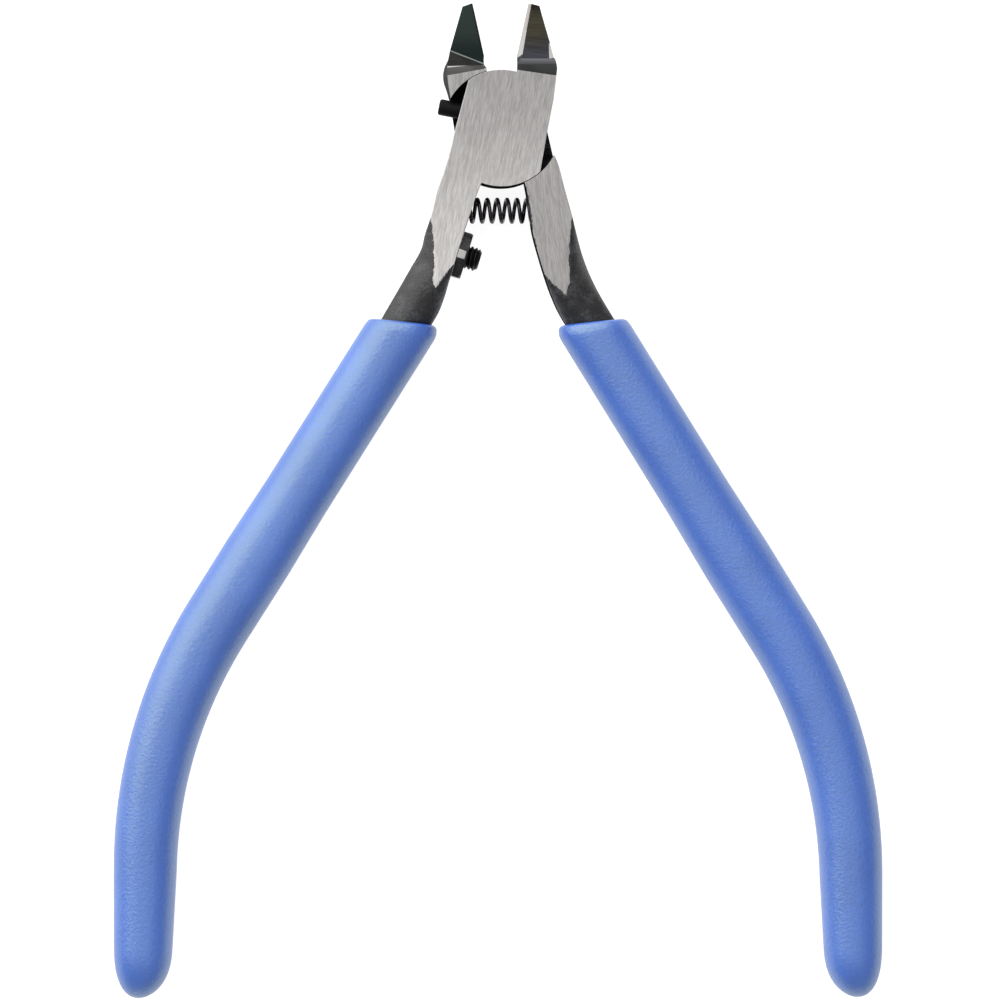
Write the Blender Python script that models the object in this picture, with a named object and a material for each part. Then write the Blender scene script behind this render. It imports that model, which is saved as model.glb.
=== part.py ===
"""Sprue nippers: two lapped levers on a flush rivet, with a spring, stops and sleeves.

The tool lies flat and fully open. +Z is the pivot axis and points up out of the
front face, +Y points to the jaw tips, and the origin is on the pivot axis, on the
joint's back face. The front lever carries the right jaw and the left handle, and
the rear lever carries the left jaw and the right handle. Lengths in this file are
in millimetres and angles in degrees; add_object turns them into Blender's units.
"""

from math import cos, pi, radians, sin, sqrt

import bmesh
import bpy
from mathutils import Matrix, Vector

# Joint
joint_thickness = 5.8
lap_gap = 0.05
disc_radius = 7.0
recess_radius = 7.06
rivet_radius = 2.0
rivet_head_radius = 2.9
rivet_clearance = 0.05

# Jaws
opening_angle = 24.6
blade_gap = 0.03
tip_distance = 15.72
relief_distance = 9.3
cutter_top = joint_thickness + 2.0
bevel_span = (7.6, 17.0)

# Height of the right jaw's face at distances forward of the pivot
right_jaw_levels = [
    (8.35, 4.3),
    (9.6, 3.4),
    (11.0, 2.65),
    (12.6, 2.05),
    (14.3, 1.6),
    (17.0, 1.25),
]

# Section of the space above a blade bevel: distance in from the edge, and height
bevel_section = [(-1.0, 0.15), (0.0, 0.15), (0.9, 6.2), (0.9, 8.0), (-1.0, 8.0)]

# Opening stop, pressed into the edge of the front plate
stop_pin_radius = 0.97
stop_pin_length = 4.1
stop_pin_fit = 0.03
stop_pin_end = (-7.5, 2.63)
stop_pin_slope = -11.0

# Closing stop, an M3 set screw with a thin lock nut
screw_tip = (-2.574, -15.802)
screw_slope = -17.1
screw_length = 6.0
screw_radius = 1.42
screw_hole_radius = 1.5
screw_point_radius = 1.0
socket_flats = 1.5
socket_depth = 1.4
nut_flats = 5.5
nut_thickness = 1.15
nut_setback = 1.62

# Return spring and the pockets that hold its ends
spring_level = -9.78
spring_left_end = -6.0
spring_right_end = 5.6
spring_outer_radius = 1.6
spring_wire_radius = 0.225
spring_turns = 9.5
pocket_radius = 1.78
pocket_end_gap = 0.15

# Grips, and the tangs inside them: the start, slope from the upright and straight length
# of the left one, then of the right one
grip_lines = {-1: ((-11.30, -22.95), 32.2, 42.6), 1: ((10.50, -22.95), 31.8, 43.9)}
grip_bend_radius = 57.0
grip_end_slope = 1.5
grip_wall = 1.12
tang_clearance = 0.08
tang_length = 68.0
socket_length = 69.0
mouth_slope = 5.0
mouth_reach = 8.0
full_size_at = 1.9

# Width and thickness of a grip at distances along its centre line
grip_sizes = [
    (0.35, 6.6, 6.4),
    (0.75, 7.6, 7.4),
    (1.9, 8.12, 7.8),
    (25.0, 8.15, 7.9),
    (34.0, 8.5, 8.1),
    (44.0, 8.4, 8.1),
    (52.0, 8.2, 8.0),
    (63.0, 7.9, 7.8),
    (75.0, 7.56, 7.6),
    (83.0, 7.1, 7.3),
]

# The end of a grip: distance, width, thickness and shift towards the outer side
grip_end_sizes = [
    (86.3, 6.6, 6.8, 0.04),
    (87.9, 5.6, 5.8, 0.15),
    (89.0, 4.0, 4.2, 0.30),
    (89.65, 2.0, 2.1, 0.42),
]

ring_points = 20


def linear(*channels):
    """Linear colour from red, green and blue on the usual 0 to 255 scale."""
    return [((channel / 255 + 0.055) / 1.055) ** 2.4 for channel in channels] + [1.0]


def heading(slope):
    return Vector((cos(radians(slope)), sin(radians(slope))))


def material(name, colour, roughness, metallic):
    made = bpy.data.materials.new(name)
    made.use_nodes = True
    shader = made.node_tree.nodes["Principled BSDF"]
    shader.inputs["Base Color"].default_value = colour
    shader.inputs["Roughness"].default_value = roughness
    shader.inputs["Metallic"].default_value = metallic
    made.diffuse_color = colour
    return made


def add_object(name, shape, finish=None, origin=(0.0, 0.0, 0.0)):
    """Make an object of a bmesh in millimetres, with its origin at a chosen point."""
    start = Vector(origin)
    shape.transform(Matrix.Scale(0.001, 4) @ Matrix.Translation(-start))
    bmesh.ops.recalc_face_normals(shape, faces=shape.faces)
    mesh = bpy.data.meshes.new(name)
    shape.to_mesh(mesh)
    shape.free()
    if finish:
        mesh.materials.append(finish)
        mesh.shade_smooth()
        mesh.set_sharp_from_angle(angle=radians(30))
    made = bpy.data.objects.new(name, mesh)
    made.location = start * 0.001
    bpy.context.scene.collection.objects.link(made)
    return made


def combine(made, other, operation):
    """Join another solid to an object, or cut it away, and keep it as a guide."""
    step = made.modifiers.new(other.name, "BOOLEAN")
    step.operation = operation
    step.solver = "EXACT"
    step.object = other
    other.hide_render = True
    other.display_type = "WIRE"


def join_loops(shape, loops, closed=False):
    """Skin rings of points with quads, closing both ends or back on the first."""
    rings = [[shape.verts.new(point) for point in loop] for loop in loops]
    pairs = list(zip(rings, rings[1:]))
    if closed:
        pairs.append((rings[-1], rings[0]))
    for ring, following in pairs:
        count = len(ring)
        for i in range(count):
            j = (i + 1) % count
            shape.faces.new((ring[i], ring[j], following[j], following[i]))
    if not closed:
        shape.faces.new(rings[0][::-1])
        shape.faces.new(rings[-1])


def prism(name, outline, low, high, finish=None):
    shape = bmesh.new()
    loops = [[(x, y, level) for x, y in outline] for level in (low, high)]
    join_loops(shape, loops)
    return add_object(name, shape, finish)


def axis_frame(start, end):
    """Start, axis and the two directions across it, the second one upright."""
    start = Vector(start)
    axis = Vector(end) - start
    side = axis.cross(Vector((0, 0, 1)))
    if side.length < 0.001:
        side = Vector((1, 0, 0))
    side.normalize()
    return start, axis, side, side.cross(axis).normalized()


def round_loop(centre, side, up, radius, count):
    turns = [2 * pi * i / count for i in range(count)]
    return [centre + side * radius * cos(turn) + up * radius * sin(turn) for turn in turns]


def hexagon_loop(centre, side, up, flats, count):
    """A hexagon with two corners up and down, with points spread along its sides."""
    corner = flats / sqrt(3)
    corners = []
    for i in range(6):
        turn = pi / 6 + pi * i / 3
        corners.append(side * corner * cos(turn) + up * corner * sin(turn))
    points = []
    each = count // 6
    for i in range(6):
        for j in range(each):
            points.append(centre + corners[i].lerp(corners[(i + 1) % 6], j / each))
    return points


def rod(name, start, end, rings, count, finish=None, origin=(0.0, 0.0, 0.0)):
    """A turned solid; each ring is a fraction of the length and a radius."""
    start, axis, side, up = axis_frame(start, end)
    loops = [round_loop(start + axis * part, side, up, r, count) for part, r in rings]
    shape = bmesh.new()
    join_loops(shape, loops)
    return add_object(name, shape, finish, origin)


def ruled_cutter(name, lines):
    """The space above a ruled surface; each line joins two points (x, y, z)."""
    loops = []
    for left, right in lines:
        loops.append([left, right, (*right[:2], cutter_top), (*left[:2], cutter_top)])
    shape = bmesh.new()
    join_loops(shape, loops)
    return add_object(name, shape)


# Levers


def arc(radius, start, end, steps):
    """Points on a circle about the pivot, from one angle to another."""
    turns = [radians(start + (end - start) * i / steps) for i in range(steps + 1)]
    return [(radius * cos(turn), radius * sin(turn)) for turn in turns]


def edge_point(side, distance, inset=0.0):
    """A point on a cutting edge; side is 1 on the right jaw and -1 on the left."""
    half = radians(opening_angle / 2)
    along = Vector((side * sin(half), cos(half)))
    across = Vector((side * cos(half), -sin(half)))
    spot = along * distance + across * (blade_gap / 2 + inset)
    return (spot.x, spot.y)


def front_outline():
    """Plan of the right jaw, the front plate and the ground face of the left handle."""
    outline = [(4.68, 15.02), edge_point(1, tip_distance), edge_point(1, relief_distance)]
    outline += [(2.02, 8.0), (1.96, 7.0)]
    outline += arc(disc_radius, 74.8, 124.6, 20)
    outline += [(-5.57, -0.2), (-6.12, -2.58), (-6.84, -4.98), (-7.68, -7.38)]
    outline += [(-8.52, -10.8), (-8.28, -13.1), (-8.1, -16.1), (-8.25, -18.3)]
    outline += [(-7.8, -19.1), (-7.15, -18.1), (-6.3, -17.1), (-5.75, -16.55)]
    outline += [(-4.43, -12.29), (-3.38, -8.94)]
    outline += arc(disc_radius, -110.0, -48.2, 24)
    outline += [(5.5, -0.35), (6.24, 3.42), (6.6, 6.3), (6.68, 7.5), (6.24, 9.18)]
    return outline


def rear_outline():
    """Plan of the left jaw, the rear plate and the ground face of the right handle."""
    outline = [edge_point(-1, tip_distance), (-4.62, 14.9), (-6.16, 9.42)]
    outline += [(-6.9, 7.7), (-6.98, 6.8), (-6.84, 5.58), (-6.5, 4.3), (-6.1, 3.35)]
    outline += [(-5.6, 0.3), (-5.5, -0.35)]
    outline += arc(disc_radius, -131.8, -66.8, 24)
    outline += [(3.3, -8.94), (3.42, -11.7), (4.32, -14.58), (5.16, -17.0)]
    outline += [(6.3, -18.5), (7.7, -20.0), (8.2, -18.2), (8.15, -14.2), (8.52, -10.5)]
    outline += [(7.62, -7.38), (7.0, -4.98), (6.6, -3.8), (6.24, -3.1), (5.57, -0.2)]
    outline += arc(disc_radius, 55.4, 105.2, 20)
    outline += [(-1.78, 7.15), (-2.06, 7.7), (-2.1, 8.4), edge_point(-1, relief_distance)]
    return outline


def oval_loop(centre, across, wide, thick, power):
    """A rounded upright section: a superellipse across a handle or a grip."""
    loop = []
    for i in range(ring_points):
        turn = 2 * pi * i / ring_points
        x = abs(cos(turn)) ** (2 / power) * (1 if cos(turn) > 0 else -1)
        z = abs(sin(turn)) ** (2 / power) * (1 if sin(turn) > 0 else -1)
        spot = centre + across * x * wide / 2
        loop.append((spot.x, spot.y, joint_thickness / 2 + z * thick / 2))
    return loop


def centre_line(distance, side):
    """Point and slope from the vertical at a distance along a grip's centre line."""
    start, slope, straight = grip_lines[side]
    slope = radians(slope)
    last = radians(grip_end_slope)
    out = sin(slope) * min(distance, straight)
    down = cos(slope) * min(distance, straight)
    past_straight = distance - straight
    if past_straight > 0:
        bend = max(slope - past_straight / grip_bend_radius, last)
        past_bend = max(past_straight - grip_bend_radius * (slope - last), 0.0)
        out += grip_bend_radius * (cos(bend) - cos(slope)) + sin(last) * past_bend
        down += grip_bend_radius * (sin(slope) - sin(bend)) + cos(last) * past_bend
        slope = bend
    return Vector((start[0] + side * out, start[1] - down)), slope


def grip_size(distance):
    """Width and thickness of a grip, read between its listed sizes."""
    for (start, *sizes), (end, *following) in zip(grip_sizes, grip_sizes[1:]):
        if distance <= end:
            part = max(distance - start, 0.0) / (end - start)
            return [a + (b - a) * part for a, b in zip(sizes, following)]
    return grip_sizes[-1][1:]


def inner_loop(distance, side, spare):
    """The tang's section with some spare room around it."""
    spot, slope = centre_line(distance, side)
    wide, thick = grip_size(max(distance, full_size_at))
    across = Vector((cos(slope), side * sin(slope)))
    less = 2 * (grip_wall + tang_clearance - spare)
    return oval_loop(spot, across, wide - less, thick - less, 3.0)


def handle(name, stations, side):
    """The forged handle below the joint, running on as the tang inside its grip."""
    loops = []
    for (left, right), thick in stations:
        left = Vector(left)
        right = Vector(right)
        wide = (right - left).length
        middle = (left + right) / 2
        loops.append(oval_loop(middle, (right - left) / wide, wide, thick, 4.0))
    steps = 18
    first = -1.0
    for i in range(steps + 1):
        distance = first + (tang_length - first) * i / steps
        loops.append(inner_loop(distance, side, 0.0))
    shape = bmesh.new()
    join_loops(shape, loops)
    return add_object(name, shape)


def left_handle():
    stations = [
        (((-7.42, -6.75), (-3.05, -7.95)), 5.6),
        (((-8.42, -10.6), (-4.32, -11.8)), 5.6),
        (((-9.2, -12.6), (-4.9, -13.7)), 5.6),
        (((-9.6, -14.5), (-5.5, -15.55)), 5.6),
        (((-10.8, -16.5), (-6.35, -18.2)), 5.55),
        (((-12.72, -19.86), (-7.55, -22.1)), 5.45),
    ]
    return handle("left_handle_forging", stations, -1)


def right_handle():
    stations = [
        (((3.2, -8.1), (7.6, -7.1)), 5.6),
        (((3.55, -11.5), (8.4, -10.3)), 5.6),
        (((4.15, -14.0), (9.1, -12.9)), 5.6),
        (((4.75, -16.1), (9.75, -14.9)), 5.6),
        (((5.6, -18.8), (10.75, -17.5)), 5.55),
        (((6.7, -21.8), (12.2, -20.3)), 5.45),
    ]
    return handle("right_handle_forging", stations, 1)


def lap_cutter(name, low, high):
    """The round recess that takes half the joint's thickness out of a lever."""
    rings = [(0.0, recess_radius), (1.0, recess_radius)]
    return rod(name, (0, 0, low), (0, 0, high), rings, 96)


def rivet_hole(name):
    """The rivet's own shape with clearance, running past both faces."""
    past = 1.0
    mouth = rivet_head_radius + rivet_clearance + past
    narrow = rivet_radius + rivet_clearance
    cone = rivet_head_radius - rivet_radius + past
    length = joint_thickness + 2 * past
    rings = [(0.0, mouth), (cone / length, narrow), (1 - cone / length, narrow), (1.0, mouth)]
    return rod(name, (0, 0, -past), (0, 0, joint_thickness + past), rings, 48)


def right_jaw_face():
    """A steep shoulder, then a hollow-ground face that thins towards the tip."""
    lines = [((0.0, 6.25, 6.75), (9.0, 4.95, 6.75))]
    lines.append(((0.0, 7.25, joint_thickness), (9.0, 5.95, joint_thickness)))
    for forward, level in right_jaw_levels:
        lines.append(((0.0, forward + 0.1, level), (9.0, forward - 0.1, level)))
    return ruled_cutter("right_jaw_face", lines)


def left_jaw_face():
    """Two sloping bands that fan out from the throat, then a long flat facet."""
    lines = [((-9.0, 4.85, 6.6), (-1.7, 6.16, 6.6))]
    lines.append(((-9.0, 5.85, joint_thickness), (-1.7, 7.16, joint_thickness)))
    lines.append(((-9.0, 7.4, 5.05), (-1.7, 7.6, 5.05)))
    lines.append(((-9.0, 10.58, 3.8), (-1.7, 7.7, 4.3)))
    lines.append(((-9.0, 17.0, 0.95), (-1.7, 17.0, 0.95)))
    return ruled_cutter("left_jaw_face", lines)


def blade_bevel(name, side):
    """The space above the steep bevel that makes a cutting edge."""
    loops = []
    for distance in bevel_span:
        loops.append([(*edge_point(side, distance, inset), z) for inset, z in bevel_section])
    shape = bmesh.new()
    join_loops(shape, loops)
    return add_object(name, shape)


def screw_point(setback):
    """A point on the set screw's axis, measured back from its tip."""
    spot = Vector(screw_tip) - heading(screw_slope) * setback
    return (spot.x, spot.y, joint_thickness / 2)


def pin_point(inward):
    """A point on the stop pin's axis, measured in from its outer end."""
    spot = Vector(stop_pin_end) + heading(stop_pin_slope) * inward
    return (spot.x, spot.y, joint_thickness * 0.75 + lap_gap / 4)


def plain(radius):
    return [(0.0, radius), (1.0, radius)]


def front_lever(finish):
    lever = prism("front_lever", front_outline(), 0.0, joint_thickness, finish)
    combine(lever, left_handle(), "UNION")
    low_half = joint_thickness / 2 + lap_gap / 2
    combine(lever, lap_cutter("front_lap", -1.0, low_half), "DIFFERENCE")
    combine(lever, rivet_hole("front_rivet_hole"), "DIFFERENCE")
    combine(lever, right_jaw_face(), "DIFFERENCE")
    combine(lever, blade_bevel("right_bevel", 1), "DIFFERENCE")
    ends = pin_point(-2.0), pin_point(stop_pin_length + 0.1)
    pin_hole = rod("pin_hole", *ends, plain(stop_pin_radius + stop_pin_fit), 24)
    combine(lever, pin_hole, "DIFFERENCE")
    screw_hole = rod("screw_hole", screw_point(0.0), screw_point(9.5), plain(screw_hole_radius), 24)
    combine(lever, screw_hole, "DIFFERENCE")
    combine(lever, spring_pocket("left_pocket", spring_left_end - pocket_end_gap, -2.0), "DIFFERENCE")
    return lever


def rear_lever(finish):
    lever = prism("rear_lever", rear_outline(), 0.0, joint_thickness, finish)
    combine(lever, right_handle(), "UNION")
    high_half = joint_thickness / 2 - lap_gap / 2
    combine(lever, lap_cutter("rear_lap", high_half, joint_thickness + 1.0), "DIFFERENCE")
    combine(lever, rivet_hole("rear_rivet_hole"), "DIFFERENCE")
    combine(lever, left_jaw_face(), "DIFFERENCE")
    combine(lever, blade_bevel("left_bevel", -1), "DIFFERENCE")
    combine(lever, spring_pocket("right_pocket", 2.0, spring_right_end + pocket_end_gap), "DIFFERENCE")
    return lever


# Joint pieces


def pivot_rivet(finish):
    """A plain shank between two countersunk heads, ground flush on both faces."""
    cone = (rivet_head_radius - rivet_radius) / joint_thickness
    rings = [(0.0, rivet_head_radius), (cone, rivet_radius)]
    rings += [(1 - cone, rivet_radius), (1.0, rivet_head_radius)]
    return rod("pivot_rivet", (0, 0, 0), (0, 0, joint_thickness), rings, 48, finish)


def opening_stop_pin(finish):
    rings = [(0.0, stop_pin_radius - 0.2), (0.05, stop_pin_radius), (1.0, stop_pin_radius)]
    ends = pin_point(0.0), pin_point(stop_pin_length)
    return rod("opening_stop_pin", *ends, rings, 24, finish)


def stopper_set_screw(finish):
    chamfer = (screw_radius - screw_point_radius) / screw_length
    rings = [(0.0, screw_point_radius), (chamfer, screw_radius)]
    rings += [(0.97, screw_radius), (1.0, screw_radius - 0.2)]
    tip = screw_point(0.0)
    screw = rod("stopper_set_screw", tip, screw_point(screw_length), rings, 24, finish, tip)
    socket_end = screw_point(screw_length - socket_depth)
    start, axis, side, up = axis_frame(socket_end, screw_point(screw_length + 1))
    loops = [hexagon_loop(start + axis * part, side, up, socket_flats, 6) for part in (0, 1)]
    socket = bmesh.new()
    join_loops(socket, loops)
    combine(screw, add_object("hexagon_socket", socket), "DIFFERENCE")
    return screw


def stopper_lock_nut(finish):
    """A thin hexagon nut, with the corner at each face ground level with it."""
    inner_face = screw_point(nut_setback + nut_thickness)
    start, axis, side, up = axis_frame(screw_point(nut_setback), inner_face)
    loops = []
    for part in (0, 1):
        loops.append(hexagon_loop(start + axis * part, side, up, nut_flats, 24))
    for part in (1, 0):
        hole = round_loop(start + axis * part, side, up, screw_hole_radius, 24)
        loops.append(hole[2:] + hole[:2])
    shape = bmesh.new()
    join_loops(shape, loops, closed=True)
    middle = screw_point(nut_setback + nut_thickness / 2)
    nut = add_object("stopper_lock_nut", shape, finish, middle)
    square = [(-8, -20), (0, -20), (0, -10), (-8, -10)]
    above = prism("nut_top_grind", square, joint_thickness, joint_thickness + 2)
    below = prism("nut_bottom_grind", square, -2, 0)
    combine(nut, above, "DIFFERENCE")
    combine(nut, below, "DIFFERENCE")
    return nut


def spring_pocket(name, left, right):
    level = joint_thickness / 2
    ends = (left, spring_level, level), (right, spring_level, level)
    return rod(name, *ends, plain(pocket_radius), 24)


def return_spring(finish):
    """An open coil along X; each ring is a slice across the wire."""
    coil_radius = spring_outer_radius - spring_wire_radius
    steps = int(spring_turns * 12)
    length = spring_right_end - spring_left_end - 2 * spring_wire_radius
    loops = []
    for i in range(steps + 1):
        turn = 2 * pi * spring_turns * i / steps
        out = Vector((0, cos(turn), sin(turn)))
        x = spring_left_end + spring_wire_radius + length * i / steps
        middle = Vector((x, spring_level, joint_thickness / 2)) + out * coil_radius
        loops.append(round_loop(middle, out, Vector((1, 0, 0)), spring_wire_radius, 6))
    shape = bmesh.new()
    join_loops(shape, loops)
    return add_object("return_spring", shape, finish)


# Grips


def sleeve_loop(distance, side, sizes, power, shift=0.0):
    """A section of a grip, leaning towards its oblique mouth near the top."""
    spot, slope = centre_line(distance, side)
    near_mouth = max(1 - distance / mouth_reach, 0.0)
    lean = slope - (slope - radians(mouth_slope)) * near_mouth
    across = Vector((cos(lean), side * sin(lean)))
    spot += across * shift * side
    wide, thick = sizes
    return oval_loop(spot, across, wide / cos(slope - lean), thick, power)


def grip(name, side, finish):
    """A closed-end sleeve: up the inside, over the lip and down the outside."""
    loops = []
    mouth = grip_sizes[0][0]
    inside = [mouth + (socket_length - mouth) * i / 16 for i in range(16, -1, -1)]
    for distance in inside:
        wide, thick = grip_size(max(distance, full_size_at))
        sizes = wide - 2 * grip_wall, thick - 2 * grip_wall
        loops.append(sleeve_loop(distance, side, sizes, 3.0))
    outside = [mouth, 0.75, full_size_at] + [5.0 + 6.0 * i for i in range(14)]
    for distance in outside:
        loops.append(sleeve_loop(distance, side, grip_size(distance), 2.3))
    for distance, wide, thick, shift in grip_end_sizes:
        loops.append(sleeve_loop(distance, side, (wide, thick), 2.3, shift))
    shape = bmesh.new()
    join_loops(shape, loops)
    return add_object(name, shape, finish)


def build():
    for old in list(bpy.data.objects):
        bpy.data.objects.remove(old)
    ground_steel = material("ground_steel", linear(176, 173, 171), 0.35, 1.0)
    black_steel = material("black_steel", linear(30, 30, 31), 0.4, 0.6)
    spring_steel = material("spring_steel", linear(38, 34, 44), 0.3, 0.8)
    blue_vinyl = material("blue_vinyl", linear(118, 152, 214), 0.45, 0.0)
    front_lever(ground_steel)
    rear_lever(ground_steel)
    pivot_rivet(ground_steel)
    opening_stop_pin(black_steel)
    stopper_set_screw(black_steel)
    stopper_lock_nut(black_steel)
    return_spring(spring_steel)
    grip("left_grip", -1, blue_vinyl)
    grip("right_grip", 1, blue_vinyl)


build()
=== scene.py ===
from math import cos, pi, radians, sin

import bpy
import numpy as np
from mathutils import Matrix, Vector
from mathutils.geometry import delaunay_2d_cdt


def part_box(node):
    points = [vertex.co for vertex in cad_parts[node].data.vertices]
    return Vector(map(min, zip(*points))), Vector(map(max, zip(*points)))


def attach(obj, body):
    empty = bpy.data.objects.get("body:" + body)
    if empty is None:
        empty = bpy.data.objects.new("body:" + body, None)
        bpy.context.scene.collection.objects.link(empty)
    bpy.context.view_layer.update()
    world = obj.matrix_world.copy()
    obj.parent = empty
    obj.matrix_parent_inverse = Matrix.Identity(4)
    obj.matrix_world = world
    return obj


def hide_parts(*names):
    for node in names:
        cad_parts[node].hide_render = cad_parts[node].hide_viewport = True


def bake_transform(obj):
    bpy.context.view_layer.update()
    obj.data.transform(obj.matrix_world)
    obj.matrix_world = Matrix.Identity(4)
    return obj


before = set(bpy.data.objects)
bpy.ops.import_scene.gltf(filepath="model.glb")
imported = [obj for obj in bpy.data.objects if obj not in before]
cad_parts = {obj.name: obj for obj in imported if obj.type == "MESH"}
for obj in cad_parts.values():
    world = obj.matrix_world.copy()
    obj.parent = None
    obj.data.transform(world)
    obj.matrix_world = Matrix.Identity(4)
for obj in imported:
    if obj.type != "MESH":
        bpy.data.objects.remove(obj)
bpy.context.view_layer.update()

mm = 0.001  # lengths are in millimetres until they become a mesh
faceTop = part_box("pivot_rivet")[1].z / mm
middle = faceTop / 2
lapGap = 0.05


def gridFaces(rows, columns, looped=False):
    # quads between neighbouring rings of a grid whose last column joins its first, and when looped
    # its last row joins its first row too
    across = np.arange(columns)
    following = (across + 1) % columns
    number = np.arange(rows if looped else rows - 1)[:, None]
    ring = number * columns
    nextRing = (number + 1) % rows * columns
    corners = [ring + across, ring + following, nextRing + following, nextRing + across]
    return np.stack(corners, -1).reshape(-1, 4)


def closedSurface(grid):
    # rings of points skinned with quads, a fan over each end ring, all turned to face outwards
    rows, columns = grid.shape[:2]
    points = np.concatenate([grid.reshape(-1, 3), grid[:1].mean(1), grid[-1:].mean(1)])
    quads = gridFaces(rows, columns)
    around = np.arange(columns)
    following = (around + 1) % columns
    last = (rows - 1) * columns
    first = np.stack([np.full(columns, rows * columns), following, around], -1)
    final = np.stack([np.full(columns, rows * columns + 1), last + around, last + following], -1)
    a, b, c, d = (points[quads[:, i]] for i in range(4))
    volume = (a * (np.cross(b, c) + np.cross(c, d))).sum()
    faces = quads.tolist() + first.tolist() + final.tolist()
    if volume < 0:
        faces = [face[::-1] for face in faces]
    return points, faces


def joinShells(*shells):
    points = []
    faces = []
    count = 0
    for shellPoints, shellFaces in shells:
        points.append(shellPoints)
        faces += [[index + count for index in face] for face in shellFaces]
        count += len(shellPoints)
    return np.concatenate(points), faces


def makePiece(name, points, faces, finishes=(), faceFinish=None, smoothAngle=35.0):
    mesh = bpy.data.meshes.new(name)
    mesh.from_pydata((points * mm).tolist(), [], [list(face) for face in faces])
    for finish in finishes:
        mesh.materials.append(finish)
    if faceFinish is not None:
        mesh.polygons.foreach_set("material_index", np.asarray(faceFinish, np.int32))
    mesh.shade_smooth()
    mesh.set_sharp_from_angle(angle=radians(smoothAngle))
    mesh.update()
    made = bpy.data.objects.new(name, mesh)
    bpy.context.scene.collection.objects.link(made)
    return made


class Value:
    # a socket that reads like a number: each operator adds one Math node
    def __init__(self, finish, socket):
        self.finish = finish
        self.socket = socket

    def math(self, operation, first, second):
        return self.finish.add("ShaderNodeMath", {"operation": operation}, {0: first, 1: second})

    def __add__(self, other):
        return self.math("ADD", self, other)

    def __sub__(self, other):
        return self.math("SUBTRACT", self, other)

    def __rsub__(self, other):
        return self.math("SUBTRACT", other, self)

    def __mul__(self, other):
        return self.math("MULTIPLY", self, other)

    __radd__ = __add__
    __rmul__ = __mul__


class Finish:
    # a material and its nodes; add() makes every node but the arithmetic ones
    def __init__(self, name, **fixed):
        self.material = bpy.data.materials.new(name)
        self.material.use_nodes = True
        self.tree = self.material.node_tree
        self.shader = self.tree.nodes["Principled BSDF"]
        for socket, value in fixed.items():
            self.shader.inputs[socket.replace("_", " ")].default_value = value
        self.place = self.add("ShaderNodeTexCoord", out="Object")

    def add(self, kind, settings=None, sockets=None, out=0):
        node = self.tree.nodes.new(kind)
        for setting, value in (settings or {}).items():
            setattr(node, setting, value)
        for key, value in (sockets or {}).items():
            if isinstance(value, Value):
                self.tree.links.new(value.socket, node.inputs[key])
            else:
                node.inputs[key].default_value = value
        return Value(self, node.outputs[out])

    def feed(self, socket, value):
        self.tree.links.new(value.socket, self.shader.inputs[socket])

    def pattern(self, sizes, turn=0.0):
        # object coordinates in a pattern's own units, each so many millimetres, after turning about Z
        sockets = {"Vector": self.place, "Rotation": (0, 0, radians(turn))}
        sockets["Scale"] = [size * mm for size in sizes]
        return self.add("ShaderNodeMapping", {"vector_type": "TEXTURE"}, sockets)

    def noise(self, sizes, turn=0.0, detail=2.0, roughness=0.5):
        sockets = {"Vector": self.pattern(sizes, turn), "Scale": 1.0}
        sockets["Detail"] = detail
        sockets["Roughness"] = roughness
        return self.add("ShaderNodeTexNoise", None, sockets)

    def height(self, axis):
        # one object coordinate in millimetres
        return self.add("ShaderNodeSeparateXYZ", None, {0: self.place}, out=axis) * 1000

    def spread(self, value, low, high, newLow=0.0, newHigh=1.0):
        # a smooth step that takes low..high to newLow..newHigh
        sockets = {"Value": value, "From Min": low, "From Max": high, "To Min": newLow, "To Max": newHigh}
        return self.add("ShaderNodeMapRange", {"interpolation_type": "SMOOTHSTEP"}, sockets)

    def mix(self, factor, first, second, kind="MIX"):
        settings = {"data_type": "RGBA", "blend_type": kind}
        return self.add("ShaderNodeMix", settings, {0: factor, 6: first, 7: second}, out=2)

    def shaded(self, colour, level):
        # a colour multiplied by a grey level
        grey = self.add("ShaderNodeCombineColor", None, {0: level, 1: level, 2: level})
        return self.mix(1.0, colour, grey, "MULTIPLY")

    def bump(self, height, distance, strength):
        sockets = {"Height": height, "Distance": distance * mm, "Strength": strength}
        self.feed("Normal", self.add("ShaderNodeBump", None, sockets))


def tone(red, green, blue):
    # linear colour of red, green and blue on the usual 0 to 255 scale
    return tuple(((channel / 255 + 0.055) / 1.055) ** 2.4 for channel in (red, green, blue)) + (1.0,)


forging = {"colour": tone(15, 15, 17), "worn": tone(50, 51, 54), "gloss": 0.35}
grinding = {"bright": tone(222, 219, 217), "dim": tone(188, 185, 183), "wander": 0.8, "gloss": 0.36}


def forgedParts(finish):
    # black oxide on forged steel: soft mottling and pitted scale
    cloud = finish.noise((1.6, 1.6, 1.6), detail=3.0)
    scale = finish.noise((0.3, 0.3, 0.3), detail=4.0, roughness=0.65)
    wear = finish.spread(0.5 * cloud + 0.5 * scale, 0.46, 0.64)
    colour = finish.mix(wear, forging["colour"], forging["worn"])
    return colour, forging["gloss"] - 0.08 + 0.16 * scale, scale


def forgedFinish(name, dulled=0.0):
    finish = Finish(name, IOR=1.5, Specular_IOR_Level=0.5 - 0.5 * dulled)
    colour, roughness, scale = forgedParts(finish)
    finish.feed("Base Color", colour)
    finish.feed("Roughness", roughness + 0.2 * dulled)
    finish.bump(scale, 0.09, 0.7)
    return finish.material


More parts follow.
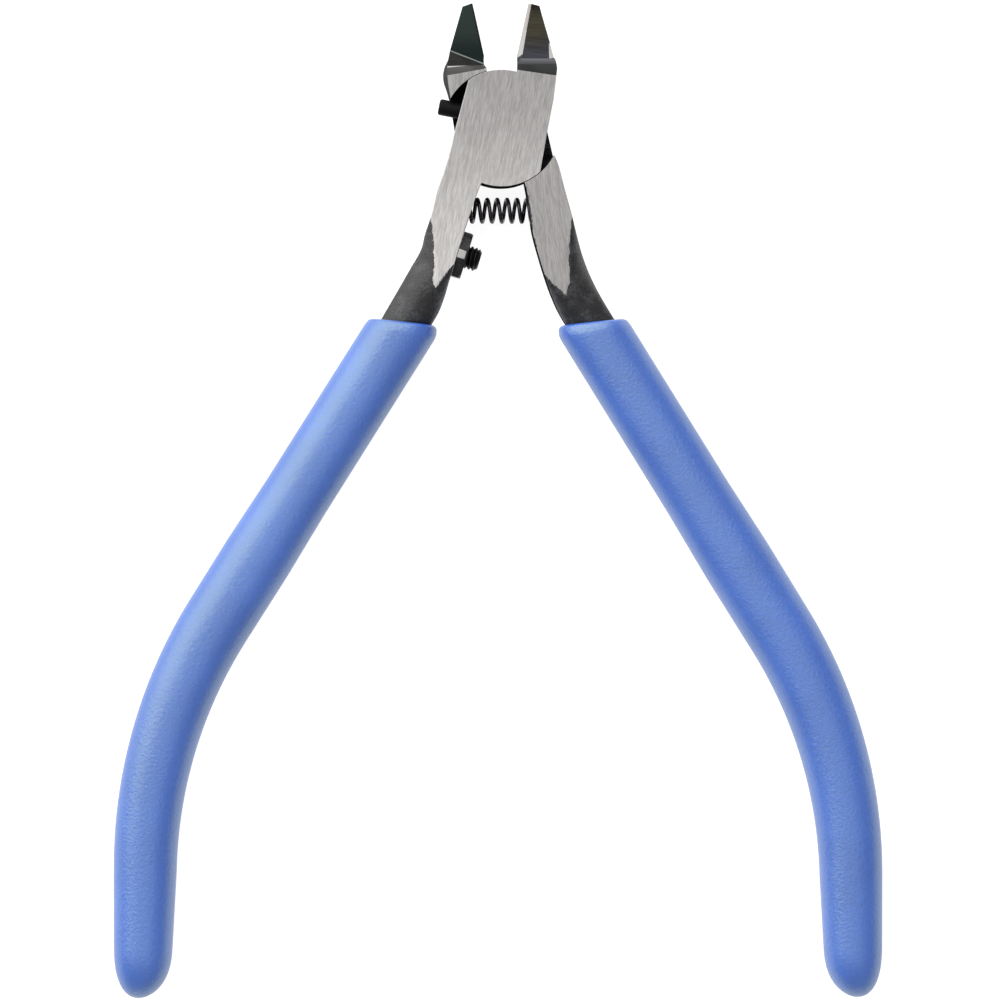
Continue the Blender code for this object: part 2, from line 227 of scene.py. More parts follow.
def groundFinish(name, turn, headReflection, handleReflection):
    # ground steel with long scratches, breaking up into black forging where the grinding ran out; its
    # grey is scaled along the tool, from one level at the handle to another at the head: a painted
    # reflection
    finish = Finish(name, IOR=1.5)
    broad = finish.noise((0.32, 4.5, 1.0), turn, 3.0, 0.6)
    scratch = finish.noise((0.13, 1.5, 1.0), turn, 2.0, 0.7)
    grain = finish.spread(0.4 * broad + 0.6 * scratch, 0.34, 0.66)
    steel = finish.mix(grain, grinding["dim"], grinding["bright"])
    # painted reflection: the steel is made lighter or darker along the tool, from the handle to the head
    steel = finish.shaded(steel, finish.spread(finish.height(1), -16.0, 6.0, handleReflection, headReflection))
    ground = finish.add("ShaderNodeAttribute", {"attribute_name": "ground"}, out="Fac")
    wander = finish.noise((0.5, 0.8, 0.5), detail=5.0, roughness=0.7) - 0.5
    mask = finish.spread(ground + grinding["wander"] * wander, -0.05, 0.08)
    black, blackRough, scale = forgedParts(finish)
    finish.feed("Base Color", finish.mix(mask, black, steel))
    finish.feed("Metallic", mask)
    finish.feed("Roughness", mask * (grinding["gloss"] - 0.06 + 0.12 * scratch) + (1 - mask) * blackRough)
    finish.bump(mask * 0.12 * scratch + (1 - mask) * scale, 0.09, 0.7)
    return finish.material


def jawFinish(name, tipColour, rootColour, rootAt, tipAt, banding=0.15, gloss=0.26, metallic=1.0):
    # a finely ground jaw face: mostly dark tones with grinding lines across the jaw; each facet of the
    # one steel gets its own tone, lighter or darker by how it catches the light, graded from root to tip:
    # painted light and shade
    finish = Finish(name, Metallic=metallic, Specular_IOR_Level=0.5 * metallic)
    band = finish.noise((7.0, 0.3, 3.0), -4.0, 3.0, 0.6)
    fine = finish.noise((2.0, 0.07, 0.5), -4.0, 2.0, 0.6)
    colour = finish.mix(finish.spread(finish.height(1), rootAt, tipAt), rootColour, tipColour)
    shade = finish.spread(0.6 * band + 0.4 * fine, 0.32, 0.68, 1 - banding, 1 + banding)
    finish.feed("Base Color", finish.shaded(colour, shade))
    finish.feed("Roughness", gloss - 0.05 + 0.1 * fine)
    finish.bump(fine, 0.004, 0.5)
    return finish.material


def hardwareFinish(name, colour, worn, gloss, metallic=0.0, specular=0.5):
    # blackened screws and wire, rubbed a little brighter in patches
    finish = Finish(name, Metallic=metallic, IOR=1.45, Specular_IOR_Level=specular)
    patch = finish.noise((0.6, 0.6, 0.6), detail=4.0, roughness=0.6)
    fine = finish.noise((0.06, 0.06, 0.06))
    finish.feed("Base Color", finish.mix(finish.spread(patch, 0.45, 0.75), colour, worn))
    finish.feed("Roughness", gloss - 0.06 + 0.12 * fine)
    finish.bump(fine, 0.004, 0.4)
    return finish.material


vinylLook = {"colour": tone(42, 88, 186), "deep": tone(36, 82, 178), "gloss": 0.34, "grain": 0.34}


def vinylFinish(name):
    # satin vinyl: an even colour under a fine leathery grain
    finish = Finish(name, IOR=2.05, Specular_Tint=(0.87, 1.0, 0.35, 1.0))
    cloud = finish.noise((9.0, 9.0, 9.0), detail=3.0)
    grain = finish.noise((vinylLook["grain"],) * 3, detail=3.0, roughness=0.65)
    colour = finish.mix(finish.spread(cloud, 0.35, 0.65), vinylLook["deep"], vinylLook["colour"])
    finish.feed("Base Color", finish.shaded(colour, finish.spread(grain, 0.3, 0.7, 0.92, 1.06)))
    finish.feed("Roughness", vinylLook["gloss"] - 0.08 + 0.16 * grain)
    finish.bump(grain, 0.1, 0.7)
    return finish.material


forgedBlack = forgedFinish("forgedBlack")
# partly the forging's own black oxide, partly painted shade: the same black with its shine taken out, for
# the joint recess, the lower side walls and the nut's seated face
oxideAndShadeBlack = forgedFinish("recessOxideAndShade", 1.0)
# the last two numbers of each ground steel are its painted reflection levels at the head and at the
# handle
frontSteel = groundFinish("frontGroundSteel", -11.0, 0.46, 0.74)
rearSteel = groundFinish("rearGroundSteel", 8.0, 0.47, 0.48)
# jaw facets of the one ground steel, each toned lighter or darker by how it faces the light and graded
# from root to tip: painted light and shade
scoopSteel = jawFinish("rightJawSteel", tone(37, 35, 28), tone(37, 38, 42), 8.6, 12.0, 0.3)
rootSteel = jawFinish("rightJawRootSteel", tone(38, 38, 38), tone(35, 36, 36), 7.0, 7.8, 0.12)
ledgeSteel = jawFinish("rightJawLedgeSteel", tone(68, 68, 72), tone(54, 55, 57), 7.9, 8.4, 0.1)
facetSteel = jawFinish("leftJawSteel", tone(27, 33, 31), tone(16, 21, 21), 8.8, 12.5, 0.06)
# painted shade: a steep facet of the left jaw made darker
shadedFacetSteel = jawFinish("leftJawShadedSteel", tone(31, 31, 29), tone(28, 28, 27), 7.5, 9.0, 0.1)
# painted highlight: a bright strip at the upper left of the slope band
paintedGlintSteel = jawFinish("leftJawPaintedGlint", tone(130, 129, 127), tone(130, 129, 127), 6.0, 8.0, 0.1)
slopeSteel = jawFinish("leftJawSlopeSteel", tone(60, 59, 58), tone(50, 50, 49), 6.4, 7.5, 0.1)
ridgeSteel = jawFinish("leftJawRidgeSteel", tone(84, 90, 87), tone(84, 90, 87), 9.0, 13.0, 0.1)
# painted highlight along the blade bevel and the jaw's chamfer
bevelHighlightSteel = jawFinish("bladeBevelHighlight", tone(150, 142, 139), tone(152, 149, 147), 9.0, 13.0, 0.1)
sideSteel = jawFinish("jawSideSteel", tone(78, 80, 80), tone(60, 62, 62), 6.0, 12.0, 0.1, 0.6, 0.0)
blackHardware = hardwareFinish("blackHardware", tone(12, 12, 11), tone(24, 24, 24), 0.38, 0.0, 0.25)
pinHardware = hardwareFinish("stopPinBlack", tone(8, 8, 8), tone(13, 13, 13), 0.5, 0.0, 0.08)
nutSteel = jawFinish("nutGroundSteel", tone(170, 169, 168), tone(170, 169, 168), -18.0, -12.0, 0.1)
nutHardware = hardwareFinish("blackenedNut", tone(21, 21, 21), tone(38, 38, 37), 0.4, 0.0, 0.35)
springHardware = hardwareFinish("springWire", tone(22, 16, 24), tone(48, 40, 52), 0.26, 0.3)
vinyl = vinylFinish("blueVinyl")
print("finishes made")


def stretches(points, step):
    # for points about a step apart along a line: the stretch that holds each one, and its share of it
    counts = np.maximum(1, np.ceil(np.hypot(*np.diff(points, axis=0).T) / step).astype(int))
    stretch = np.repeat(np.arange(len(counts)), counts)
    first = np.repeat(np.cumsum(counts) - counts, counts)
    return stretch, ((np.arange(len(stretch)) - first) / counts[stretch])[:, None]


def smoothLine(points, step=0.25):
    # a Catmull-Rom curve: each stretch is a cubic through its ends, aimed by their neighbours
    points = np.asarray(points, float)
    padded = np.concatenate([2 * points[:1] - points[1:2], points, 2 * points[-1:] - points[-2:-1]])
    stretch, t = stretches(points, step)
    before, start, end, after = (padded[stretch + i] for i in range(4))
    cubic = (2 * start + (end - before) * t + (2 * before - 5 * start + 4 * end - after) * t ** 2
             + (3 * start - before - 3 * end + after) * t ** 3) / 2
    return np.concatenate([cubic, points[-1:]])


def straightLine(points, step=0.25):
    # the same points joined by straight stretches, with more points along them
    points = np.asarray(points, float)
    stretch, t = stretches(points, step)
    return np.concatenate([points[stretch] * (1 - t) + points[stretch + 1] * t, points[-1:]])


def arcLine(radius, start, end, step=0.2):
    # a circle about the pivot between two angles in degrees
    count = int(abs(radians(end - start)) * radius / step) + 2
    turn = np.radians(np.linspace(start, end, count))
    return radius * np.stack([np.cos(turn), np.sin(turn)], -1)


def joinLines(*lines):
    # one closed outline from stretches laid end to end, without doubled points
    line = np.concatenate(lines)
    gap = np.hypot(*(line - np.roll(line, 1, 0)).T)
    return line[gap > 0.01]


def lineDistance(points, line, closed=True):
    # distance from each point to the nearest stretch of a line, a block of points at a time
    line = np.asarray(line, float)
    ends = np.roll(line, -1, 0) if closed else line[1:]
    starts = line if closed else line[:-1]
    along = ends - starts
    blocks = []
    for block in np.array_split(points, max(1, len(points) // 1500)):
        offset = block[:, None] - starts
        part = np.clip((offset * along).sum(-1) / (along ** 2).sum(-1), 0, 1)
        blocks.append(np.sqrt(((offset - part[..., None] * along) ** 2).sum(-1)).min(1))
    return np.concatenate(blocks)


def isInside(points, line):
    # a point is inside when a ray to its right crosses the outline an odd number of times
    line = np.asarray(line, float)
    ends = np.roll(line, -1, 0)
    inside = np.zeros(len(points), bool)
    for block in np.array_split(np.arange(len(points)), max(1, len(points) // 1500)):
        x, y = points[block].T[:, :, None]
        spans = (line[:, 1] > y) != (ends[:, 1] > y)
        rise = np.where(ends[:, 1] == line[:, 1], 1.0, ends[:, 1] - line[:, 1])
        crossing = line[:, 0] + (y - line[:, 1]) / rise * (ends[:, 0] - line[:, 0])
        inside[block] = (spans & (x < crossing)).sum(1) % 2 == 1
    return inside


def leftOf(points, start, end):
    # signed distance from a straight line, positive on its left going from start to end
    start = np.asarray(start, float)
    along = np.asarray(end, float) - start
    offset = points - start
    return (along[0] * offset[:, 1] - along[1] * offset[:, 0]) / np.hypot(*along)


planGrading = {
    # depths of the rings of points inside an outline, and the spacing of the grid's points
    "rings": (0.01, 0.03, 0.06, 0.1, 0.16, 0.26, 0.42, 0.65, 0.95, 1.35), "coarse": 0.5, "fine": 0.18,
}


def planMesh(outline, creases, fineAbove):
    # points on the outline, on rings inside it, along the creases and on a grid, all joined by
    # Delaunay triangles
    leftward = np.roll(outline, -1, 0) - np.roll(outline, 1, 0)
    leftward = np.stack([-leftward[:, 1], leftward[:, 0]], -1) / np.hypot(*leftward.T)[:, None]
    spots = []
    for depth in planGrading["rings"]:
        ring = outline + leftward * depth
        ring = ring[lineDistance(ring, outline) > 0.92 * depth]
        spots.append(ring[:: 1 if depth < 0.5 else 2])
    low = outline.min(0)
    high = outline.max(0)
    coarse = (planGrading["coarse"], low[1], fineAbove)
    fine = (planGrading["fine"], fineAbove, high[1])
    for step, bottom, top in (coarse, fine):
        across, up = np.meshgrid(np.arange(low[0], high[0], step), np.arange(bottom, top, step))
        across[1::2] += step / 2
        grid = np.stack([across.ravel(), up.ravel()], -1)
        grid = grid[isInside(grid, outline)]
        spots.append(grid[lineDistance(grid, outline) > 0.15 + 0.5 * step])
    spots = np.concatenate(spots)
    for crease in creases:
        spots = spots[lineDistance(spots, crease, closed=False) > 0.05]
    spots = spots[isInside(spots, outline)]
    count = len(outline)
    edges = [(i, (i + 1) % count) for i in range(count)]
    every = [outline]
    for crease in creases:
        edges += [(count + i, count + i + 1) for i in range(len(crease) - 1)]
        count += len(crease)
        every.append(crease)
    every.append(spots)
    result = delaunay_2d_cdt([Vector(point) for point in np.concatenate(every)], edges, [], 0, 1e-5)
    points = np.array([tuple(point) for point in result[0]])
    triangles = np.array([list(face) for face in result[2]])
    a, b, c = (points[triangles[:, i]] for i in range(3))
    backward = (b - a)[:, 0] * (c - a)[:, 1] - (b - a)[:, 1] * (c - a)[:, 0] < 0
    triangles[backward] = triangles[backward][:, ::-1]
    return points, triangles[isInside(points[triangles].mean(1), outline)]


def slab(points, triangles, top, bottom):
    # the same plan at two heights, with walls between the open edges of the two sheets
    used = np.unique(triangles)
    number = np.zeros(len(points), int)
    number[used] = np.arange(len(used))
    points, top, bottom, triangles = points[used], top[used], bottom[used], number[triangles]
    count = len(points)
    edges = np.concatenate([triangles[:, [0, 1]], triangles[:, [1, 2]], triangles[:, [2, 0]]])
    rim = edges[~np.isin(edges[:, 0] * count + edges[:, 1], edges[:, 1] * count + edges[:, 0])]
    walls = np.stack([rim[:, 0] + count, rim[:, 1] + count, rim[:, 1], rim[:, 0]], -1)
    solid = np.concatenate([np.column_stack([points, top]), np.column_stack([points, bottom])])
    return solid, triangles.tolist() + (triangles[:, ::-1] + count).tolist() + walls.tolist()


def turned(start, end, profile, count=48):
    # a turned solid: rings of each radius at distances from the start along its axis
    start = np.asarray(start, float)
    axis = np.asarray(end, float) - start
    axis /= np.linalg.norm(axis)
    side = np.cross(axis, (0, 0, 1)) if abs(axis[2]) < 0.9 else np.array([1.0, 0.0, 0.0])
    side /= np.linalg.norm(side)
    turn = 2 * pi * np.arange(count) / count
    around = np.cos(turn)[:, None] * side + np.sin(turn)[:, None] * np.cross(side, axis)
    rings = [start + axis * distance + around * radius for distance, radius in profile]
    return closedSurface(np.array(rings))


def drilled(points, faces, cutters):
    # every hole cut out of a shell in one Boolean
    solid = makePiece("solid", points, faces)
    tool = makePiece("cutters", *joinShells(*cutters))
    step = solid.modifiers.new("holes", "BOOLEAN")
    step.operation = "DIFFERENCE"
    step.solver = "EXACT"
    step.object = tool
    result = solid.evaluated_get(bpy.context.evaluated_depsgraph_get()).to_mesh()
    places = np.empty(len(result.vertices) * 3, np.float32)
    result.vertices.foreach_get("co", places)
    cut = [tuple(face.vertices) for face in result.polygons]
    bpy.data.objects.remove(solid)
    bpy.data.objects.remove(tool)
    return places.reshape(-1, 3).astype(float) / mm, cut


jaws = {"openAngle": 24.6, "gap": 0.03, "tip": 15.72, "relief": 9.3, "edgeHeight": 0.15}
discRadius = 7.0
recessRadius = 7.065
recessRings = [arcLine(recessRadius + step, 0, 360) for step in (-0.005, 0.005)]


def edgePoint(side, distance):
    # a point on a cutting edge, which runs out from the pivot; side is 1 on the right jaw
    half = radians(jaws["openAngle"] / 2)
    x = side * (sin(half) * distance + cos(half) * jaws["gap"] / 2)
    return (x, cos(half) * distance - sin(half) * jaws["gap"] / 2)


rounding = {
    # how steeply and how far a forged face falls, the share of the fall that is a slope, and the small
    # round of the ground edges, which is larger on the far left
    "steepness": 1.1, "deepest": 2.3, "sloped": 0.45, "power": 1.3, "rim": 0.03, "leftRim": 0.09,
    "leftOf": -3.8,
}


def forgedDrop(points, outline, taper):
    # how far a face lies below the ground plane: partly a slope and partly a quarter ellipse from the
    # ground area out to the outline, and a small round along edges that are ground all the way
    depth = lineDistance(points, outline)
    outside = np.where(isInside(points, taper), 0, lineDistance(points, taper))
    width = np.maximum(outside + depth, 1e-6)
    share = outside / width
    depthThere = np.clip(rounding["steepness"] * width, 0, rounding["deepest"])
    slope = share ** rounding["power"]
    ellipse = 1 - np.sqrt(np.clip(1 - share ** 2, 0, 1))
    forged = depthThere * (rounding["sloped"] * slope + (1 - rounding["sloped"]) * ellipse)
    rim = np.where(points[:, 0] < rounding["leftOf"], rounding["leftRim"], rounding["rim"])
    edge = rim - np.sqrt(rim ** 2 - np.clip(rim - depth, 0, rim) ** 2)
    return np.maximum(forged, edge)


def groundDepth(points, taper):
    # distance inside the ground area, negative outside it
    distance = lineDistance(points, taper)
    return np.where(isInside(points, taper), distance, -distance)


def markGround(piece, depth):
    # the attribute that the ground steel reads, one depth for each point
    ground = piece.data.attributes.new("ground", "FLOAT", "POINT")
    ground.data.foreach_set("value", depth.astype(np.float32))


def bevelShare(points, side, width):
    # distance in from a cutting edge as a share of the bevel's width there
    return -side * leftOf(points, edgePoint(side, 0), edgePoint(side, 20)) / np.maximum(width, 1e-6)


facing = {
    # the upward part of a face's normal above which it is flat, or belongs to a jaw, and where a lever's
    # side walls become a jaw's
    "flat": 0.35, "jaw": 0.15, "jawWallsFrom": 3.0, "smoothAngle": 28.0,
}


def finishForging(name, points, faces, taper, steel, jawSteels):
    # ground faces above and below, walls and recess in a shineless black that is partly oxide and partly
    # painted shade, and a finish of its own on each jaw face, toned with painted light and shade
    corners = np.array([face[:3] for face in faces])
    a, b, c = (points[corners[:, i]] for i in range(3))
    normal = np.cross(b - a, c - a)
    level = normal[:, 2] / np.maximum(np.linalg.norm(normal, axis=1), 1e-12)
    centres = np.array([points[list(face)].mean(0) for face in faces])
    flat = np.abs(level) > facing["flat"]
    recessed = (np.hypot(*centres[:, :2].T) < recessRadius) & (np.abs(centres[:, 2] - middle) < lapGap)
    walls = np.where(centres[:, 1] > facing["jawWallsFrom"], 2, 1)
    # the recess floor and the side walls short of the jaws take the shineless black, partly painted shade
    index = np.where(flat, np.where(recessed, 1, 0), walls)
    finishes = [steel, oxideAndShadeBlack, sideSteel]
    for finish, belongs in jawSteels:
        index = np.where((level > facing["jaw"]) & belongs(centres), len(finishes), index)
        finishes.append(finish)
    piece = makePiece(name, points, faces, finishes, index, facing["smoothAngle"])
    markGround(piece, groundDepth(points[:, :2], taper))
    return piece


screwAxis = np.array([0.9558, -0.29404, 0.0])
screwTip = np.array([-2.574, -15.802, middle])
springLevel = -9.78
bores = {
    # the rivet's bore as radii at distances from just below the back face, and the plainer holes
    "rivet": [(0.0, 3.05), (0.15, 2.912), (1.0, 2.012), (faceTop - 0.7, 2.012), (faceTop + 0.15, 2.912),
              (faceTop + 0.3, 3.05)],
    "below": 0.15, "pin": ((-9.0, 2.92, 4.3625), (-3.2, 1.79, 4.3625)), "pinRadius": 1.0, "pinDepth": 5.9,
    "screwRadius": 1.5, "screwDepth": 9.5, "pocketRadius": 1.78, "pocketDepth": 4.2,
    "leftPocket": -6.15, "rightPocket": 5.75,
}
boreCutter = turned((0, 0, -bores["below"]), (0, 0, faceTop), bores["rivet"], 96)


def plainCutter(start, end, radius, length):
    # a straight hole that begins at the start and heads for the end
    return turned(start, end, [(0.0, radius), (length, radius)])


def pocketCutter(x):
    # the blind pocket that holds one end of the spring, opening towards the middle
    start = (x, springLevel, middle)
    return plainCutter(start, (0, springLevel, middle), bores["pocketRadius"], bores["pocketDepth"])

frontPlan = {
    "jaw": [(6.24, 9.18), (4.68, 15.02), edgePoint(1, jaws["tip"]), edgePoint(1, jaws["relief"])],
    "throat": [edgePoint(1, jaws["relief"]), (2.02, 8.0), (1.96, 7.0), (1.835, 6.755)],
    "leftEdge": [(-3.975, 5.762), (-5.57, -0.2)],
    "outer": [(-5.57, -0.2), (-6.12, -2.58), (-6.84, -4.98), (-7.68, -7.38), (-8.52, -10.74),
              (-9.16, -12.66), (-9.62, -14.5), (-10.8, -16.6), (-12.68, -19.86), (-13.98, -22.1),
              (-15.08, -24.0), (-16.6, -26.5)],
    "end": [(-16.6, -26.5), (-12.1, -29.55)],
    "inner": [(-12.1, -29.55), (-10.6, -27.0), (-7.9, -22.74), (-6.95, -20.6), (-6.28, -18.39)],
    "nutSeat": [(-6.28, -18.39), (-4.41, -12.29)],
    "springSide": [(-4.41, -12.29), (-3.9, -10.8), (-3.3, -8.9), (-2.45, -6.65)],
    "rightEdge": [(4.67, -5.22), (5.5, -0.35), (6.24, 3.42), (6.58, 6.2)],
    "shoulder": [(6.58, 6.2), (6.68, 7.5), (6.24, 9.18)],
    "taper": [(-30, 30), (-30, -10.8), (-8.52, -10.8), (-8.22, -13.1), (-8.1, -16.1), (-8.28, -18.3),
              (-7.85, -19.1), (-7.25, -18.3), (-6.27, -17.0), (-5.1, -15.6), (0, -15.0), (30, -15),
              (30, 30)],
}
rightJaw = {"shoulder": [(1.96, 6.97), (6.6, 6.3)], "rootLine": 7.8, "scoopLine": 8.45, "rootTop": 4.75,
            "scoopTop": 4.45, "tipTop": 1.45, "bevelRoot": 0.62, "bevelTip": 0.34, "chamferAt": 5.76,
            "chamferEnd": 10.4}


def rightRootLine(x):
    (x1, y1), (x2, y2) = rightJaw["shoulder"]
    return y1 + (x - x1) * (y2 - y1) / (x2 - x1)


def rightBevel(points):
    width = np.interp(points[:, 1], [rightJaw["rootLine"], rightJaw["scoopLine"], jaws["tip"]],
                      [0.0, rightJaw["bevelRoot"], rightJaw["bevelTip"]])
    return bevelShare(points, 1, width)


def inChamfer(points):
    x, y = points[:, :2].T
    return (x > rightJaw["chamferAt"]) & (y > rightJaw["scoopLine"]) & (y < rightJaw["chamferEnd"])


def rightJawFace(points):
    # a steep root, a gentle ledge, then a hollow-ground face that falls as a parabola to the tip
    x, y = points.T
    root = rightRootLine(x)
    run = np.clip((y - rightJaw["scoopLine"]) / (jaws["tip"] - rightJaw["scoopLine"]), 0, 1)
    scoop = rightJaw["tipTop"] + (rightJaw["scoopTop"] - rightJaw["tipTop"]) * (1 - run) ** 2
    share = (y - root) / (rightJaw["rootLine"] - root)
    steep = faceTop - (faceTop - rightJaw["rootTop"]) * share
    ledgeSpan = [rightJaw["rootLine"], rightJaw["scoopLine"]]
    ledge = np.interp(y, ledgeSpan, [rightJaw["rootTop"], rightJaw["scoopTop"]])
    face = np.where(y < rightJaw["scoopLine"], ledge, scoop)
    face = face - np.where(inChamfer(points), 3.0 * (x - rightJaw["chamferAt"]), 0)
    face = jaws["edgeHeight"] + (face - jaws["edgeHeight"]) * np.clip(rightBevel(points), 0, 1)
    face = np.where(y < rightJaw["rootLine"], steep, face)
    return np.where((y > root) & (x > 1), face, 99.0)


def makeFrontForging():
    plan = frontPlan
    outline = joinLines(
        straightLine(plan["jaw"], 0.15), smoothLine(plan["throat"], 0.15),
        arcLine(discRadius, 74.8, 124.6), straightLine(plan["leftEdge"]), smoothLine(plan["outer"]),
        straightLine(plan["end"]), smoothLine(plan["inner"]), straightLine(plan["nutSeat"]),
        smoothLine(plan["springSide"]), arcLine(discRadius, -110.0, -48.2),
        straightLine(plan["rightEdge"]), smoothLine(plan["shoulder"]))
    bevelLine = [np.add(edgePoint(1, distance), (width, 0)) for distance, width in
                 ((8.6, rightJaw["bevelRoot"]), (jaws["tip"], rightJaw["bevelTip"]))]
    creases = [straightLine([(1.3, rightRootLine(1.3)), (7.0, rightRootLine(7.0))], 0.18)]
    creases += [straightLine([(1.3, rightJaw[line]), (7.0, rightJaw[line])], 0.18)
                for line in ("rootLine", "scoopLine")]
    creases.append(straightLine(bevelLine, 0.18))
    chamfer = [(rightJaw["chamferAt"], rightJaw[line]) for line in ("scoopLine", "chamferEnd")]
    creases.append(straightLine(chamfer))
    points, triangles = planMesh(outline, creases + recessRings, 6.0)
    drop = forgedDrop(points, outline, plan["taper"])
    top = np.minimum(faceTop - drop, rightJawFace(points))
    bottom = np.where(np.hypot(*points.T) < recessRadius, middle + lapGap / 2, drop)
    screwHole = plainCutter(screwTip, screwTip - screwAxis, bores["screwRadius"], bores["screwDepth"])
    pinHole = plainCutter(*bores["pin"], bores["pinRadius"], bores["pinDepth"])
    cutters = [boreCutter, screwHole, pocketCutter(bores["leftPocket"]), pinHole]
    points, faces = drilled(*slab(points, triangles, top, bottom), cutters)
    root = rightJaw["rootLine"]
    scoop = rightJaw["scoopLine"]
    # each jaw facet takes its own tone of painted light and shade
    jawSteels = [
        (rootSteel, lambda p: (p[:, 0] > 1) & (p[:, 1] > rightRootLine(p[:, 0])) & (p[:, 1] < root)),
        (ledgeSteel, lambda p: (p[:, 0] > 1) & (p[:, 1] > root) & (p[:, 1] < scoop)),
        (scoopSteel, lambda p: (p[:, 0] > 1) & (p[:, 1] > scoop)),
        (bevelHighlightSteel, lambda p: (p[:, 0] > 1) & (p[:, 1] > 8.0) & (rightBevel(p[:, :2]) < 1)),
        (bevelHighlightSteel, inChamfer),
    ]
    return finishForging("frontForging", points, faces, plan["taper"], frontSteel, jawSteels)


rearPlan = {
    "jaw": [edgePoint(-1, jaws["relief"]), edgePoint(-1, jaws["tip"]), (-4.62, 14.9), (-6.16, 9.42),
            (-6.38, 8.3)],
    "shoulder": [(-6.36, 8.3), (-6.76, 7.55), (-6.94, 6.8), (-6.86, 5.8), (-6.5, 4.7), (-6.12, 3.4)],
    "leftEdge": [(-6.12, 3.4), (-5.6, 0.3), (-5.5, -0.35), (-4.67, -5.22)],
    "inner": [(2.78, -6.45), (3.1, -8.2), (3.4, -10.2), (3.72, -12.4), (4.32, -14.7), (5.16, -17.5),
              (6.12, -20.3), (7.3, -22.8), (10.08, -27.0), (11.6, -29.55)],
    "end": [(11.6, -29.55), (15.85, -26.5)],
    "outer": [(15.85, -26.5), (14.35, -24.0), (13.17, -22.1), (12.33, -20.7), (11.33, -18.9),
              (10.44, -16.98), (9.7, -15.0), (9.12, -13.0), (8.4, -10.2), (7.62, -7.38), (7.0, -4.98),
              (6.6, -3.8), (6.24, -3.1)],
    "rightEdge": [(6.24, -3.1), (5.57, -0.2), (3.975, 5.762)],
    "throat": [(-1.8, 7.0), (-1.8, 7.2), (-2.04, 7.65), (-2.1, 8.4), edgePoint(-1, jaws["relief"])],
    "taper": [(30, 30), (30, -10.4), (8.52, -10.4), (8.1, -14.2), (8.15, -18.2), (7.75, -20.1),
              (6.5, -18.9), (5.1, -17.6), (4.22, -14.7), (3.8, -12.4), (3.55, -10.2), (3.27, -8.2),
              (2.97, -6.9), (-30, -6.9), (-30, 30)],
}
leftJaw = {
    # lines that fan out from the throat, each with its height at its two ends
    "lines": [((-6.49, 6.3), (-1.77, 7.15), 5.8, 5.8), ((-6.49, 7.46), (-2.2, 7.57), 5.15, 5.15),
              ((-6.12, 9.32), (-2.14, 7.74), 3.95, 4.45), ((-6.12, 9.48), (-2.14, 7.89), 3.88, 4.37),
              ((-9.0, 16.0), (0.0, 16.0), 1.2, 1.2)],
    "side": [(-6.36, 8.3), (-6.49, 7.46), (-6.5, 6.3), (-6.38, 5.2), (-6.2, 4.2), (-6.08, 3.3)],
    # the glint line bounds a painted highlight on the slope band
    "bevel": 0.14, "glint": ((-6.49, 7.27), (-4.1, 7.52)),
}


def leftBand(points):
    # number of the band between two of the fanned lines that holds each point, or -1
    band = np.full(len(points), -1)
    for number, (near, far) in enumerate(zip(leftJaw["lines"], leftJaw["lines"][1:])):
        between = (leftOf(points, *near[:2]) >= 0) & (leftOf(points, *far[:2]) < 0)
        band = np.where(between & (points[:, 0] < -1) & (points[:, 1] > 5), number, band)
    return band


def outboard(points):
    # beyond the shoulder's crease on the outer side
    around = np.array(leftJaw["side"] + [(-12, 3.3), (-12, 8.3)])
    return isInside(points, around)


def levelAlong(points, start, end, startLevel, endLevel):
    # height of a fanned line beside each point
    run = np.clip((points[:, 0] - start[0]) / (end[0] - start[0]), -0.5, 1.5)
    return startLevel + (endLevel - startLevel) * run


def leftJawFace(points):
    # ruled bands: each height is read off between the two lines on either side
    height = np.full(len(points), 99.0)
    band = leftBand(points)
    for number, lines in enumerate(zip(leftJaw["lines"], leftJaw["lines"][1:])):
        past, short = (abs(leftOf(points, *line[:2])) for line in lines)
        low, high = (levelAlong(points, *line) for line in lines)
        share = past / np.maximum(past + short, 1e-6)
        height = np.where(band == number, low + (high - low) * share, height)
    bevel = np.clip(bevelShare(points, -1, leftJaw["bevel"]), 0, 1)
    beveled = jaws["edgeHeight"] + (height - jaws["edgeHeight"]) * bevel
    height = np.where((band >= 2) & (points[:, 1] > 8.8), beveled, height)
    fall = 7.0 * lineDistance(points, leftJaw["side"], closed=False)
    return np.where(outboard(points), np.minimum(height, faceTop) - fall, height)


